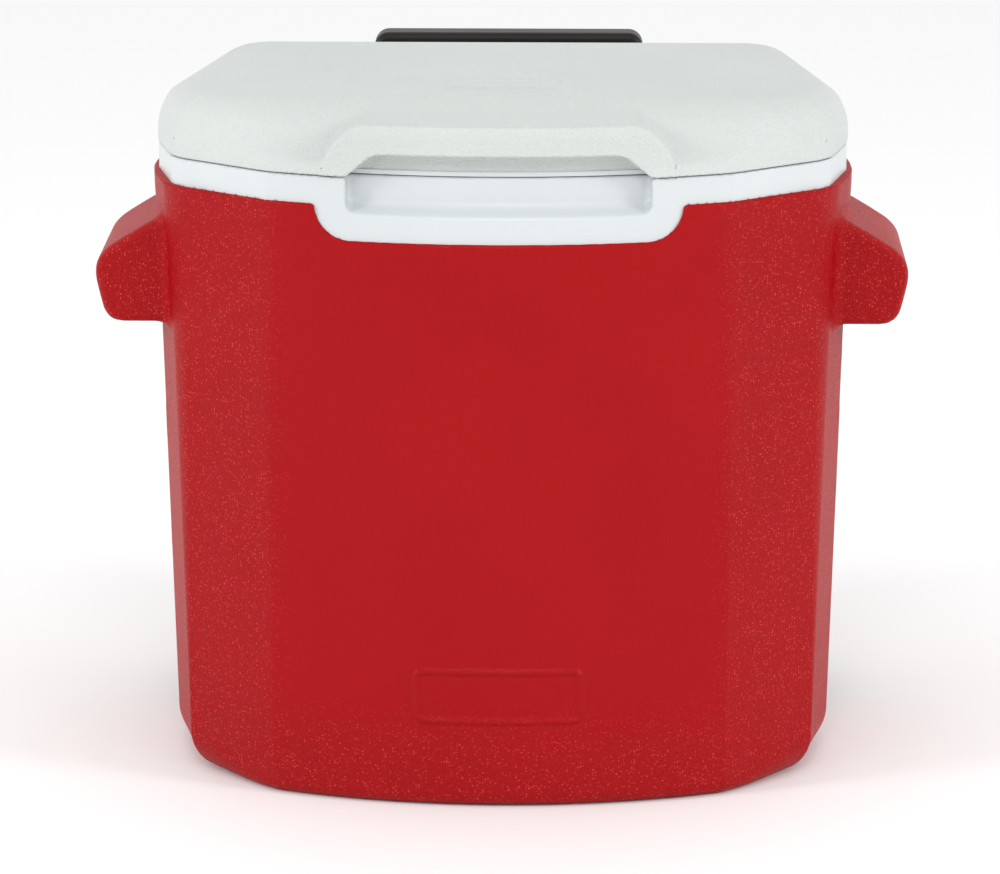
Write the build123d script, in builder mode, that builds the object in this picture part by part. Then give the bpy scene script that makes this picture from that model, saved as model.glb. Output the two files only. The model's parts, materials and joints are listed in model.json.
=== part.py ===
"""Upright wheeled cooler chest with a hinged lid, moulded side lugs and a telescoping tow handle.

Frame: +X to the right, +Y to the back, +Z up, in millimetres. The origin is under the middle of the
whole object, on the floor. MID_Y is the middle of the chest itself, which sits forward of the origin
because the tow handle stands behind it.
"""

from math import sqrt
import os

from build123d import *

os.makedirs("parts", exist_ok=True)

# ---------------------------------------------------------------- driving dimensions
CHEST_DEPTH = 280.0  # front to back of the chest and lid
HANDLE_REACH = 54.0  # how far the tow handle stands behind the chest
MID_Y = -HANDLE_REACH / 2
FRONT_Y = MID_Y - CHEST_DEPTH / 2
BACK_Y = MID_Y + CHEST_DEPTH / 2

RED_TOP = 358.0  # top edge of the outer shell
SEAM_Z = 374.0  # top of the liner's rim
LID_GAP = 0.6  # open seam between rim and lid
LID_TOP = 410.0
DRAFT = 0.025  # inward lean of the walls per mm of depth
SIDE_DRAFT = 0.026
BOTTOM_CORNER = 38.0  # radius of the lower corners, seen from the front
FOOT_HEIGHT = 14.0  # the foot turns in below here, by FOOT_STEPS at each wall
FOOT_STEPS = (7.0, 6.0, 4.0, 0.0, 0.0, 0.0)

SHELL_T = 3.0  # wall of the outer shell and the lid shell
LEDGE_T = 3.0  # the shell's top turns in by LEDGE_INSET to carry the rim
LEDGE_INSET = 8.0
RIM_T = 3.0
LINER_T = 2.5
FIT_GAP = 0.2  # air between the foam and the skins around it
RIM_INSET = 2.5  # how far the white rim stands in from the red wall
LID_INSET = 1.0

# Right half of the outline, seen from above: corner, x and y from the middle of the chest
FRONT_BOW = 26.0  # how far the front wall bows out between its two corners
CORNER_A = (135.0, -114.0)
CORNER_B = (192.0, -72.0)
CORNER_C = (205.0, -20.0)
CORNER_D = (205.0, 15.0)
CORNER_E = (180.0, 140.0)
CORNER_RADII = (45.0, 26.0, 70.0, 90.0, 34.0)
CHEST_HALF_WIDTH = CORNER_C[0]

# Rim tongue and the finger pocket that it shares with the lid
TONGUE_HALF = 105.0
TONGUE_BOTTOM = 337.5
TONGUE_RADIUS = 20.0
TONGUE_DEPTH = 15.0
POCKET_HALF = 87.0
POCKET_TOP_HALF = 71.0
POCKET_BOTTOM = 354.0
POCKET_DEPTH = 11.0
POCKET_TOP = 388.0

# Inside of the liner
CAVITY_INSET_TOP = 30.0
CAVITY_INSET_FLOOR = 37.0
FLOOR_Z = 38.0
STEP_Y = MID_Y + 48.0  # the floor steps up behind here, over the axle and wheel wells
STEP_Z = 118.0

# Wheels
WHEEL_R = 50.0
WHEEL_W = 26.0
WHEEL_LIFT = 1.5  # the chest stands on its base, with the wheels just clear
AXLE_R = 4.0
AXLE_Y = MID_Y + 115.0
AXLE_Z = WHEEL_R + WHEEL_LIFT
WELL_R = WHEEL_R + 6.0
WELL_X = 148.0
TUNNEL_R = 6.0
BUSH_FLANGE = 3.0
BUSH_LENGTH = 18.0
SPIN_GAP = 0.5  # side play of the wheel
WHEEL_IN = WELL_X + BUSH_FLANGE + SPIN_GAP
WHEEL_OUT = WHEEL_IN + WHEEL_W
WASHER_T = 1.2
NUT_DEPTH = 4.0
SPOKES = 6

# Lid hinge
HINGE_Y = MID_Y + 147.0
HINGE_Z = 393.0
HINGE_X = 118.0
KNUCKLE_R = 5.5
PIN_R = 2.0
PIN_HEAD_R = 3.4
PIN_HEAD_T = 1.2
LUG_W = 8.0
LUG_GAP = 0.5
BRACKET_W = 24.0
BRACKET_T = 3.0
BRACKET_BOTTOM = 316.0
BRACKET_SCREWS = (325.0, 341.0)

# Tow handle
RAIL_X = 70.0
RAIL_Y = MID_Y + 183.0
OUTER_R, OUTER_BORE = 9.5, 8.2
INNER_R, INNER_BORE = 7.5, 6.3
RAIL_BOTTOM = 26.0
RAIL_TOP = 346.0
INNER_BOTTOM = 40.0
COLLAR_H = 12.0
TRAVEL = 262.0
GUIDE_DEPTH = 24.0
GUIDE_FLANGE = 2.0
GRIP_HALF = 84.0
GRIP_FRONT = MID_Y + 172.5
GRIP_BACK = BACK_Y + HANDLE_REACH
GRIP_TOP = 405.5
GRIP_BOTTOM = 386.0
LEG_INNER_X = 58.0
LEG_BOTTOM = 348.4
GRIP_SCREW_Z = 366.0

# Blocks that hold the tow handle's tubes on the back of the chest
SPINE_HALF = 98.0
SPINE_Y = MID_Y + 160.0
SPINE_BOTTOM = 18.0
SPINE_TOP = 352.0
SPINE_SLOPE = 8.0
UPPER_BLOCK = (320.0, 342.0)
LOWER_BLOCK = (20.0, 48.0)
BLOCK_HALF = 88.0
BLOCK_BACK = GRIP_BACK
BLOCK_SEAT = SPINE_Y + 12.0  # back of the thin plate between the two tubes
BLOCK_PLATE_X = 48.0
SCREW_R = 2.0
HOLE_GAP = 0.05
SCREW_HEAD_R = 4.0
SCREW_HEAD_T = 2.0
SCREW_X = 32.0
SCREW_GRIP = 14.0  # how far a screw reaches into what it holds
HINGE_SEAT = BACK_Y + BRACKET_T

# Side lugs, hollow below for the fingers
LUG_MID_Y = MID_Y - 2.0
LUG_HALF = 50.0
LUG_CORNER = 9.0
LUG_ROOT_X = 195.0  # inside the chest's wall
LUG_ROOT_Z = 338.0
LUG_TIP_X = 240.0
LUG_LOW_Z = 272.0
LUG_PROFILE = (  # x and z along the lug's outside, from its top to its lower edge
    (206.0, 334.0),
    (218.0, 328.5),
    (228.0, 321.0),
    (237.5, 309.0),
    (LUG_TIP_X, 298.0),
    (238.0, 283.0),
    (230.0, LUG_LOW_Z),
)
LUG_WALL = 4.5

# Lid
LID_BOTTOM = SEAM_Z + LID_GAP
LID_EDGE_Z = 384.0  # the bevel starts here
LID_BEVEL = (50.0, 12.0, 12.0, 15.0, 15.0, 12.0)  # how far the top face stands in at each wall
LID_TOP_BOW = 3.0  # bow of the top face's front edge
VISOR_TOP_Z = 406.0
VISOR_TOP_HALF = 78.0
VISOR_FOOT_HALF = 101.0
PLUG_INSET = 32.0
PLUG_BOTTOM = 364.0


# ---------------------------------------------------------------- outlines
def inset_line(p, q, inset):
    """The line through p and q moved inward, as (normal x, normal y, distance)."""
    dx, dy = q[0] - p[0], q[1] - p[1]
    length = sqrt(dx * dx + dy * dy)
    nx, ny = dy / length, -dx / length
    return nx, ny, nx * p[0] + ny * p[1] - inset


def crossing(a, b):
    """Where two inset lines cross."""
    det = a[0] * b[1] - a[1] * b[0]
    return (a[2] * b[1] - a[1] * b[2]) / det, (a[0] * b[2] - a[2] * b[0]) / det


def outline_corners(front, facet, shoulder, side, rear, back, bow):
    """Corners A to E of the right half, each wall moved inward by its own amount."""
    facet_line = inset_line(CORNER_A, CORNER_B, facet)
    shoulder_line = inset_line(CORNER_B, CORNER_C, shoulder)
    side_line = inset_line(CORNER_C, CORNER_D, side)
    rear_line = inset_line(CORNER_D, CORNER_E, rear)
    back_line = (0.0, 1.0, CORNER_E[1] - back)
    bow_r = (CORNER_A[0] ** 2 + bow**2) / (2 * bow)
    bow_mid = -CHEST_DEPTH / 2 + bow_r
    nx, ny, reach = facet_line
    across = reach - ny * bow_mid
    along = sqrt((bow_r - front) ** 2 - across**2)
    a = (nx * across + ny * along, bow_mid + ny * across - nx * along)
    return [
        a,
        crossing(facet_line, shoulder_line),
        crossing(shoulder_line, side_line),
        crossing(side_line, rear_line),
        crossing(rear_line, back_line),
    ]


def outline(*insets, bow=FRONT_BOW):
    """Draws the chest's outline in the open sketch, given one inset or one for each wall."""
    insets = insets * 6 if len(insets) == 1 else insets
    right = [(x, y + MID_Y) for x, y in outline_corners(*insets, bow)]
    left = [(-x, y) for x, y in right]
    with BuildLine() as line:
        ThreePointArc(left[0], (0, FRONT_Y + insets[0]), right[0])
        Polyline(*right, *reversed(left))
    make_face(line.line)
    for (x, y), radius in zip(right, CORNER_RADII):
        corners = [v for v in vertices() if abs(abs(v.X) - x) < 0.01 and abs(v.Y - y) < 0.01]
        fillet(corners, max(radius - insets[2], 5.0))


def prism(low, high, *insets):
    """The outline extruded between two heights."""
    with BuildPart() as block:
        with BuildSketch(Plane.XY.offset(low)):
            outline(*insets)
        extrude(amount=high - low)
    return block.part


def front_view(inset):
    """Draws the chest seen from the front: leaning sides and large lower corners."""
    foot = CHEST_HALF_WIDTH - SIDE_DRAFT * RED_TOP - inset
    top = CHEST_HALF_WIDTH - inset + SIDE_DRAFT * 20
    with BuildLine() as line:
        Polyline((-foot, inset), (foot, inset), (top, RED_TOP + 20), (-top, RED_TOP + 20), close=True)
    make_face(line.line)
    fillet(vertices().group_by(Axis.Y)[0], BOTTOM_CORNER - inset)


# ---------------------------------------------------------------- solids that several parts share
def shared(a, b):
    """What two solids have in common."""
    with BuildPart() as common:
        add(a)
        add(b, mode=Mode.INTERSECT)
    return common.part


def front_block(corners, radius, depth):
    """A front-view shape set into the front wall to a depth that follows the wall's bow."""
    with BuildPart() as block:
        with BuildSketch(Plane.XZ.offset(-FRONT_Y - 60)):
            with BuildLine() as line:
                Polyline(*corners, close=True)
            make_face(line.line)
            if radius:
                fillet(vertices().group_by(Axis.Y)[0], radius)
        extrude(amount=100)
        add(prism(RED_TOP - 60, LID_TOP + 10, depth), mode=Mode.SUBTRACT)
    return block.part


def tongue_block(grow, high):
    """The space of the rim's front tongue, up to a height."""
    half, low = TONGUE_HALF + grow, TONGUE_BOTTOM - grow
    corners = [(-half, low), (half, low), (half, high), (-half, high)]
    return front_block(corners, TONGUE_RADIUS + grow, TONGUE_DEPTH + grow)


def pull_recess(grow):
    """The undercut below the lid's front lip."""
    low, high = LID_BOTTOM - 5, POCKET_TOP + grow
    foot, top = POCKET_HALF + grow, POCKET_TOP_HALF + grow
    return front_block([(-foot, low), (foot, low), (top, high), (-top, high)], 0, POCKET_DEPTH + grow)


def chest_form(inset, top):
    """The chest as one block, inset from its outside, with wheel wells, axle tunnel and tongue notch."""
    with BuildPart() as form:
        foot = inset + DRAFT * (RED_TOP - inset)
        with BuildSketch(Plane.XY.offset(inset)):
            outline(*(foot + step for step in FOOT_STEPS))
        with BuildSketch(Plane.XY.offset(FOOT_HEIGHT)):
            outline(inset + DRAFT * (RED_TOP - FOOT_HEIGHT))
        with BuildSketch(Plane.XY.offset(top)):
            outline(inset + DRAFT * (RED_TOP - top))
        loft(ruled=True)
        with BuildSketch(Plane.XZ):
            front_view(inset)
        extrude(amount=300, both=True, mode=Mode.INTERSECT)
        with BuildSketch(Plane.YZ):
            with BuildLine() as line:
                Polyline(
                    (BACK_Y - 20, SPINE_BOTTOM + inset),
                    (SPINE_Y - inset, SPINE_BOTTOM + inset),
                    (SPINE_Y - inset, SPINE_TOP - SPINE_SLOPE - inset),
                    (BACK_Y - inset, SPINE_TOP - inset),
                    (BACK_Y - 20, SPINE_TOP - inset),
                    close=True,
                )
            make_face(line.line)
        extrude(amount=SPINE_HALF - inset, both=True)
        for side in (-1, 1):
            with BuildSketch(Plane.YZ.offset(side * (WELL_X - inset))):
                with Locations((AXLE_Y, AXLE_Z)):
                    Circle(WELL_R + inset)
                with Locations((AXLE_Y, 0)):
                    Rectangle(2 * (WELL_R + inset), 2 * AXLE_Z)
                with Locations((AXLE_Y + 50, AXLE_Z / 2)):
                    Rectangle(100, AXLE_Z + 2 * (WELL_R + inset))
            extrude(amount=side * 100, mode=Mode.SUBTRACT)
        with Locations(Location((0, AXLE_Y, AXLE_Z), (0, 90, 0))):
            Cylinder(TUNNEL_R + inset, 400, mode=Mode.SUBTRACT)
        add(tongue_block(inset, RED_TOP + 5), mode=Mode.SUBTRACT)
    return form.part


def cavity(grow):
    """The space inside the liner, grown outward; the floor steps up over the axle and wheel wells."""
    with BuildPart() as space:
        with BuildSketch(Plane.XY.offset(FLOOR_Z - grow)):
            outline(CAVITY_INSET_FLOOR - grow)
        with BuildSketch(Plane.XY.offset(SEAM_Z + 1)):
            outline(CAVITY_INSET_TOP - grow)
        loft(ruled=True)
        with BuildSketch(Plane.YZ):
            with BuildLine() as line:
                step_y, step_z = STEP_Y + grow, STEP_Z - grow
                Polyline((step_y, 0), (BACK_Y, 0), (BACK_Y, step_z), (step_y, step_z), close=True)
            make_face(line.line)
        extrude(amount=300, both=True, mode=Mode.SUBTRACT)
    return space.part


def side_lug(wall):
    """Both side lugs as blocks, or with a wall thickness, the hollows inside them."""
    foot = (LUG_ROOT_X, LUG_LOW_Z)
    with BuildPart() as lugs:
        with BuildSketch(Plane.XZ):
            with BuildLine() as line:
                for first in range(0, len(LUG_PROFILE) - 1, 2):
                    ThreePointArc(*LUG_PROFILE[first : first + 3])
                Polyline(LUG_PROFILE[-1], foot, (LUG_ROOT_X, LUG_ROOT_Z), LUG_PROFILE[0])
            make_face(line.line)
            if wall:
                offset(amount=-wall)
                mouth = LUG_PROFILE[-1][0] - foot[0] - 2 * wall
                with Locations((foot[0] + wall + mouth / 2, LUG_LOW_Z)):
                    Rectangle(mouth, 4 * wall)
        extrude(amount=2 * LUG_HALF, both=True)
        with BuildSketch(Plane.XY):
            with Locations((0, LUG_MID_Y)):
                RectangleRounded(2 * (LUG_TIP_X - wall), 2 * (LUG_HALF - wall), LUG_CORNER - wall)
        extrude(amount=LID_TOP, mode=Mode.INTERSECT)
        mirror(about=Plane.YZ)
    return lugs.part


def screw_shanks(places, reach, front, gap=0.0):
    """Screw shanks along Y from the head's seat to the end of their reach, or the holes for them."""
    with BuildPart() as shanks:
        for x, z in places:
            with BuildSketch(Plane.XZ.offset(-front)):
                with Locations((x, z)):
                    Circle(SCREW_R + gap)
            extrude(amount=reach + gap)
    return shanks.part


def screws(places, reach, front):
    """Pan-head screws whose heads sit at Y = front and whose shanks point forward."""
    with BuildPart() as group:
        add(screw_shanks(places, reach, front))
        for x, z in places:
            with BuildSketch(Plane.XZ.offset(-front - SCREW_HEAD_T)):
                with Locations((x, z)):
                    Circle(SCREW_HEAD_R)
            extrude(amount=SCREW_HEAD_T)
            rim = group.faces().filter_by(lambda f: abs(f.center().X - x) < 1 and abs(f.center().Z - z) < 1)
            fillet(rim.sort_by(Axis.Y)[-1].edges(), 0.8)
        for x, z in places:
            with BuildSketch(Plane.XZ.offset(-front - SCREW_HEAD_T)):
                with Locations((x, z)):
                    Rectangle(4.4, 1.0)
                    Rectangle(1.0, 4.4)
            extrude(amount=1.0, mode=Mode.SUBTRACT)
    return group.part


def save(part, name):
    """Labels a finished piece and writes it."""
    part.label = name
    export_step(part, f"parts/{name}.step")


def ring(radius, bore, low, high, x):
    """An upright ring about a tow handle tube."""
    with BuildPart() as sleeve:
        with BuildSketch(Plane.XY.offset(low)):
            with Locations((x, RAIL_Y)):
                Circle(radius)
                Circle(bore, mode=Mode.SUBTRACT)
        extrude(amount=high - low)
    return sleeve.part


def axle_ring(radius, bore, near, far):
    """A ring about the axle, between two distances from the middle."""
    with BuildPart() as disc:
        with BuildSketch(Plane.YZ.offset(near)):
            with Locations((AXLE_Y, AXLE_Z)):
                Circle(radius)
                if bore:
                    Circle(bore, mode=Mode.SUBTRACT)
        extrude(amount=far - near)
    return disc.part


HINGE_SCREWS = [(side * HINGE_X, z) for side in (-1, 1) for z in BRACKET_SCREWS]
UPPER_SCREWS = [(side * SCREW_X, sum(UPPER_BLOCK) / 2) for side in (-1, 1)]
LOWER_SCREWS = [(side * SCREW_X, sum(LOWER_BLOCK) / 2) for side in (-1, 1)]
GRIP_SCREWS = [(side * RAIL_X, GRIP_SCREW_Z) for side in (-1, 1)]
HINGE_REACH = BRACKET_T + SCREW_GRIP
BLOCK_REACH = BLOCK_SEAT - SPINE_Y + SCREW_GRIP
GRIP_SEAT = GRIP_BACK - SCREW_HEAD_T
GRIP_REACH = GRIP_SEAT - RAIL_Y - INNER_BORE + 1

with BuildPart() as screw_holes:
    add(screw_shanks(HINGE_SCREWS, HINGE_REACH, HINGE_SEAT, HOLE_GAP))
    add(screw_shanks(UPPER_SCREWS + LOWER_SCREWS, BLOCK_REACH, BLOCK_SEAT, HOLE_GAP))

liner_outside = cavity(LINER_T)

# ---------------------------------------------------------------- chest
with BuildPart() as outer_shell:
    add(side_lug(0))
    add(side_lug(LUG_WALL), mode=Mode.SUBTRACT)
    add(chest_form(0, RED_TOP))
    add(chest_form(SHELL_T, RED_TOP - LEDGE_T), mode=Mode.SUBTRACT)
    add(prism(RED_TOP - LEDGE_T - 1, RED_TOP + 5, LEDGE_INSET), mode=Mode.SUBTRACT)
    add(screw_holes.part, mode=Mode.SUBTRACT)
save(outer_shell.part, "outer_shell")

with BuildPart() as tongue:
    add(prism(TONGUE_BOTTOM - 5, SEAM_Z, RIM_INSET))
    add(tongue_block(0, SEAM_Z + 5), mode=Mode.INTERSECT)

with BuildPart() as finger_pocket:
    half = POCKET_HALF
    mouth = [(-half, POCKET_BOTTOM), (half, POCKET_BOTTOM), (half, SEAM_Z + 5), (-half, SEAM_Z + 5)]
    add(front_block(mouth, 6, POCKET_DEPTH))

with BuildPart() as inner_liner:
    add(prism(RED_TOP, SEAM_Z, RIM_INSET))
    add(prism(RED_TOP - 1, SEAM_Z - RIM_T, RIM_INSET + RIM_T), mode=Mode.SUBTRACT)
    add(tongue.part)
    add(liner_outside)
    add(finger_pocket.part, mode=Mode.SUBTRACT)
    add(cavity(0), mode=Mode.SUBTRACT)
    add(prism(SEAM_Z, SEAM_Z + 5, 0), mode=Mode.SUBTRACT)
save(inner_liner.part, "inner_liner")

with BuildPart() as body_insulation:
    add(prism(RED_TOP - LEDGE_T - FIT_GAP, SEAM_Z - RIM_T - FIT_GAP, LEDGE_INSET + FIT_GAP))
    add(tongue_block(SHELL_T + FIT_GAP, SEAM_Z), mode=Mode.SUBTRACT)
    add(chest_form(SHELL_T + FIT_GAP, RED_TOP - LEDGE_T - FIT_GAP))
    add(cavity(LINER_T + FIT_GAP), mode=Mode.SUBTRACT)
    add(screw_holes.part, mode=Mode.SUBTRACT)
save(body_insulation.part, "body_insulation")

# ---------------------------------------------------------------- lid
hinge_lugs = [
    HINGE_X * side + offset_x
    for side in (-1, 1)
    for offset_x in (-BRACKET_W / 2 - LUG_GAP - LUG_W, BRACKET_W / 2 + LUG_GAP)
]


def lid_form(inset):
    """The lid as one block, inset from its outside."""
    top = LID_TOP - inset
    edge = LID_INSET + inset
    with BuildPart() as form:
        add(prism(LID_BOTTOM, LID_EDGE_Z, edge))
        with BuildSketch(Plane.XY.offset(LID_EDGE_Z)):
            outline(edge)
        with BuildSketch(Plane.XY.offset(top)):
            outline(*(edge + step for step in LID_BEVEL), bow=LID_TOP_BOW)
        loft(ruled=True)
        foot, crown = VISOR_FOOT_HALF - inset, VISOR_TOP_HALF - inset
        lip = VISOR_TOP_Z - inset
        corners = [(-foot, LID_BOTTOM), (foot, LID_BOTTOM), (crown, lip), (-crown, lip)]
        visor = front_block(corners, 0, LID_BEVEL[0])
        add(shared(visor, prism(LID_BOTTOM, LID_TOP, edge)))
        add(pull_recess(inset), mode=Mode.SUBTRACT)
    return form.part


with BuildPart() as lid_shell:
    for x in hinge_lugs:
        with BuildSketch(Plane.YZ.offset(x)):
            with BuildLine() as line:
                Polyline(
                    (HINGE_Y, HINGE_Z + KNUCKLE_R),
                    (HINGE_Y - 14, HINGE_Z + KNUCKLE_R),
                    (HINGE_Y - 12, LID_BOTTOM + 4),
                    (HINGE_Y - 8, LID_BOTTOM + 4),
                    (HINGE_Y, HINGE_Z - KNUCKLE_R),
                    close=True,
                )
            make_face(line.line)
            with Locations((HINGE_Y, HINGE_Z)):
                Circle(KNUCKLE_R)
        extrude(amount=LUG_W)
    add(lid_form(0))
    add(lid_form(SHELL_T), mode=Mode.SUBTRACT)
    with Locations(Location((0, HINGE_Y, HINGE_Z), (0, 90, 0))):
        Cylinder(PIN_R + 0.06, 2 * (HINGE_X + 30), mode=Mode.SUBTRACT)
save(lid_shell.part, "lid_shell")

with BuildPart() as lid_liner:
    add(prism(LID_BOTTOM, LID_BOTTOM + LINER_T, LID_INSET + SHELL_T + FIT_GAP))
    add(pull_recess(SHELL_T + FIT_GAP), mode=Mode.SUBTRACT)
    add(prism(PLUG_BOTTOM, LID_BOTTOM + LINER_T, PLUG_INSET))
    add(prism(PLUG_BOTTOM + LINER_T, LID_TOP, PLUG_INSET + LINER_T), mode=Mode.SUBTRACT)
save(lid_liner.part, "lid_liner")

with BuildPart() as lid_insulation:
    add(lid_form(SHELL_T + FIT_GAP))
    add(prism(LID_BOTTOM - 1, LID_BOTTOM + LINER_T + FIT_GAP, 0), mode=Mode.SUBTRACT)
    add(prism(PLUG_BOTTOM + LINER_T + FIT_GAP, LID_EDGE_Z, PLUG_INSET + LINER_T + FIT_GAP))
save(lid_insulation.part, "lid_insulation")

# ---------------------------------------------------------------- hinges
for side, name in ((-1, "left"), (1, "right")):
    with BuildPart() as hinge_bracket:
        with BuildSketch(Plane.YZ.offset(side * HINGE_X)):
            with BuildLine() as line:
                Polyline(
                    (BACK_Y - 4, BRACKET_BOTTOM),
                    (HINGE_SEAT, BRACKET_BOTTOM),
                    (HINGE_SEAT, RED_TOP + 12),
                    (HINGE_Y + KNUCKLE_R, HINGE_Z),
                    (HINGE_Y, HINGE_Z),
                    (HINGE_Y - KNUCKLE_R, HINGE_Z),
                    (BACK_Y + 0.4, RED_TOP + 12),
                    (BACK_Y + 0.4, RED_TOP - 3),
                    (BACK_Y - 4, RED_TOP - 3),
                    close=True,
                )
            make_face(line.line)
            with Locations((HINGE_Y, HINGE_Z)):
                Circle(KNUCKLE_R)
                Circle(PIN_R, mode=Mode.SUBTRACT)
        extrude(amount=BRACKET_W / 2, both=True)
        fillet(hinge_bracket.edges().filter_by(Axis.Y).group_by(Axis.Z)[0], 4)
        add(chest_form(0, RED_TOP), mode=Mode.SUBTRACT)
        add(screw_holes.part, mode=Mode.SUBTRACT)
    save(hinge_bracket.part, f"{name}_hinge_bracket")

    half_pin = BRACKET_W / 2 + LUG_GAP + LUG_W + LUG_GAP
    with BuildPart() as hinge_pin:
        with BuildSketch(Plane.YZ.offset(side * HINGE_X - half_pin)):
            with Locations((HINGE_Y, HINGE_Z)):
                Circle(PIN_R)
        extrude(amount=2 * half_pin)
        for end in (-1, 1):
            with BuildSketch(Plane.YZ.offset(side * HINGE_X + end * half_pin)):
                with Locations((HINGE_Y, HINGE_Z)):
                    Circle(PIN_HEAD_R)
            extrude(amount=end * PIN_HEAD_T)
    save(hinge_pin.part, f"{name}_hinge_pin")

save(screws(HINGE_SCREWS, HINGE_REACH, HINGE_SEAT), "hinge_screws")

# ---------------------------------------------------------------- tow handle
for name, (low, high), closed in (("upper", UPPER_BLOCK, 0), ("lower", LOWER_BLOCK, RAIL_BOTTOM)):
    with BuildPart() as handle_bracket:
        with BuildSketch(Plane.XY.offset(low)):
            with BuildLine() as line:
                plan = [(BLOCK_HALF, SPINE_Y), (BLOCK_HALF, BLOCK_BACK), (BLOCK_PLATE_X + 7, BLOCK_BACK)]
                plan.append((BLOCK_PLATE_X, BLOCK_SEAT))
                Polyline(*plan, *[(-x, y) for x, y in reversed(plan)], close=True)
            make_face(line.line)
            fillet(vertices().group_by(Axis.Y)[-1], 7)
        extrude(amount=high - low)
        chamfer(handle_bracket.faces().group_by(Axis.Y)[-1].edges(), 1.5)
        for x in (-RAIL_X, RAIL_X):
            with BuildSketch(Plane.XY.offset(max(low, closed))):
                with Locations((x, RAIL_Y)):
                    Circle(OUTER_R)
            extrude(amount=high - low, mode=Mode.SUBTRACT)
        add(screw_holes.part, mode=Mode.SUBTRACT)
    save(handle_bracket.part, f"{name}_handle_bracket")

save(screws(UPPER_SCREWS + LOWER_SCREWS, BLOCK_REACH, BLOCK_SEAT), "handle_bracket_screws")

for side, name in ((-1, "left"), (1, "right")):
    x = side * RAIL_X
    save(ring(OUTER_R, OUTER_BORE, RAIL_BOTTOM, RAIL_TOP, x), f"{name}_outer_tube")
    with BuildPart() as guide:
        add(ring(OUTER_BORE, INNER_R + 0.06, RAIL_TOP - GUIDE_DEPTH, RAIL_TOP, x))
        add(ring(OUTER_R, INNER_R + 0.06, RAIL_TOP, RAIL_TOP + GUIDE_FLANGE, x))
    save(guide.part, f"{name}_tube_guide")
    with BuildPart() as inner_tube:
        add(ring(INNER_R, INNER_BORE, INNER_BOTTOM, GRIP_TOP - 8, x))
        add(screw_shanks(GRIP_SCREWS, GRIP_REACH, GRIP_SEAT), mode=Mode.SUBTRACT)
    save(inner_tube.part, f"{name}_inner_tube")
    save(ring(OUTER_BORE - 0.1, INNER_R, INNER_BOTTOM, INNER_BOTTOM + COLLAR_H, x), f"{name}_stop_collar")

with BuildPart() as handle_grip:
    with BuildSketch(Plane.XZ.offset(-GRIP_BACK)):
        with BuildLine() as line:
            arch = [(GRIP_HALF, LEG_BOTTOM), (GRIP_HALF, GRIP_TOP), (-GRIP_HALF, GRIP_TOP)]
            arch += [(-GRIP_HALF, LEG_BOTTOM), (-LEG_INNER_X, LEG_BOTTOM), (-LEG_INNER_X, GRIP_BOTTOM)]
            arch += [(LEG_INNER_X, GRIP_BOTTOM), (LEG_INNER_X, LEG_BOTTOM)]
            Polyline(*arch, close=True)
        make_face(line.line)
        fillet(vertices().group_by(Axis.Y)[-1], 9)
        fillet(vertices().group_by(Axis.Y)[-3], 8)
    extrude(amount=GRIP_BACK - GRIP_FRONT)
    for face in (faces().sort_by(Axis.Y)[0], faces().sort_by(Axis.Y)[-1]):
        fillet(face.edges().filter_by(lambda e: e.center().Z > LEG_BOTTOM + 1), 4)
    for x in (-RAIL_X, RAIL_X):
        with BuildSketch(Plane.XY.offset(LEG_BOTTOM - 1)):
            with Locations((x, RAIL_Y)):
                Circle(INNER_R)
        extrude(amount=GRIP_TOP - 8 - LEG_BOTTOM + 1, mode=Mode.SUBTRACT)
        with BuildSketch(Plane.XZ.offset(-GRIP_BACK)):
            with Locations((x, GRIP_SCREW_Z)):
                Circle(SCREW_HEAD_R + 0.4)
        extrude(amount=SCREW_HEAD_T, mode=Mode.SUBTRACT)
    add(screw_shanks(GRIP_SCREWS, GRIP_REACH, GRIP_SEAT), mode=Mode.SUBTRACT)
save(handle_grip.part, "handle_grip")
save(screws(GRIP_SCREWS, GRIP_REACH, GRIP_SEAT), "grip_screws")

# ---------------------------------------------------------------- wheels
half_axle = WHEEL_OUT + SPIN_GAP + WASHER_T + NUT_DEPTH + 1
with BuildPart() as axle:
    with BuildSketch(Plane.YZ.offset(-half_axle)):
        with Locations((AXLE_Y, AXLE_Z)):
            Circle(AXLE_R)
    extrude(amount=2 * half_axle)
    chamfer(axle.edges(), 0.8)
save(axle.part, "axle")

with BuildPart() as wheel:
    middle = (WHEEL_IN + WHEEL_OUT) / 2
    add(axle_ring(WHEEL_R, WHEEL_R - 7, WHEEL_IN, WHEEL_OUT))
    fillet(wheel.edges().filter_by(GeomType.CIRCLE).group_by(SortBy.RADIUS)[-1], 4)
    add(axle_ring(WHEEL_R - 6, 5, middle - 2, middle + 2))
    add(axle_ring(12, 5, WHEEL_IN, WHEEL_OUT))
    with BuildSketch(Plane.YZ.offset(middle - 9)):
        with Locations((AXLE_Y, AXLE_Z)):
            with PolarLocations(27, SPOKES):
                Rectangle(34, 5)
    extrude(amount=18)
    with BuildSketch(Plane.YZ.offset(middle - 5)):
        with Locations((AXLE_Y, AXLE_Z)):
            with PolarLocations(28, SPOKES, start_angle=180 / SPOKES):
                Circle(7)
    extrude(amount=10, mode=Mode.SUBTRACT)
    with BuildSketch(Plane.YZ.offset(WHEEL_IN - 1)):
        with Locations((AXLE_Y, AXLE_Z)):
            Circle(AXLE_R + 0.06)
    extrude(amount=WHEEL_W + 2, mode=Mode.SUBTRACT)

with BuildPart() as bush:
    add(axle_ring(10, AXLE_R, WELL_X, WELL_X + BUSH_FLANGE))
    add(axle_ring(TUNNEL_R, AXLE_R, WELL_X - BUSH_LENGTH, WELL_X))

with BuildPart() as push_nut:
    add(axle_ring(9, AXLE_R, half_axle - 1 - NUT_DEPTH, half_axle - 1))
    chamfer(push_nut.edges().filter_by(GeomType.CIRCLE).group_by(SortBy.RADIUS)[-1].sort_by(Axis.X)[-1], 1.5)

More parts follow.
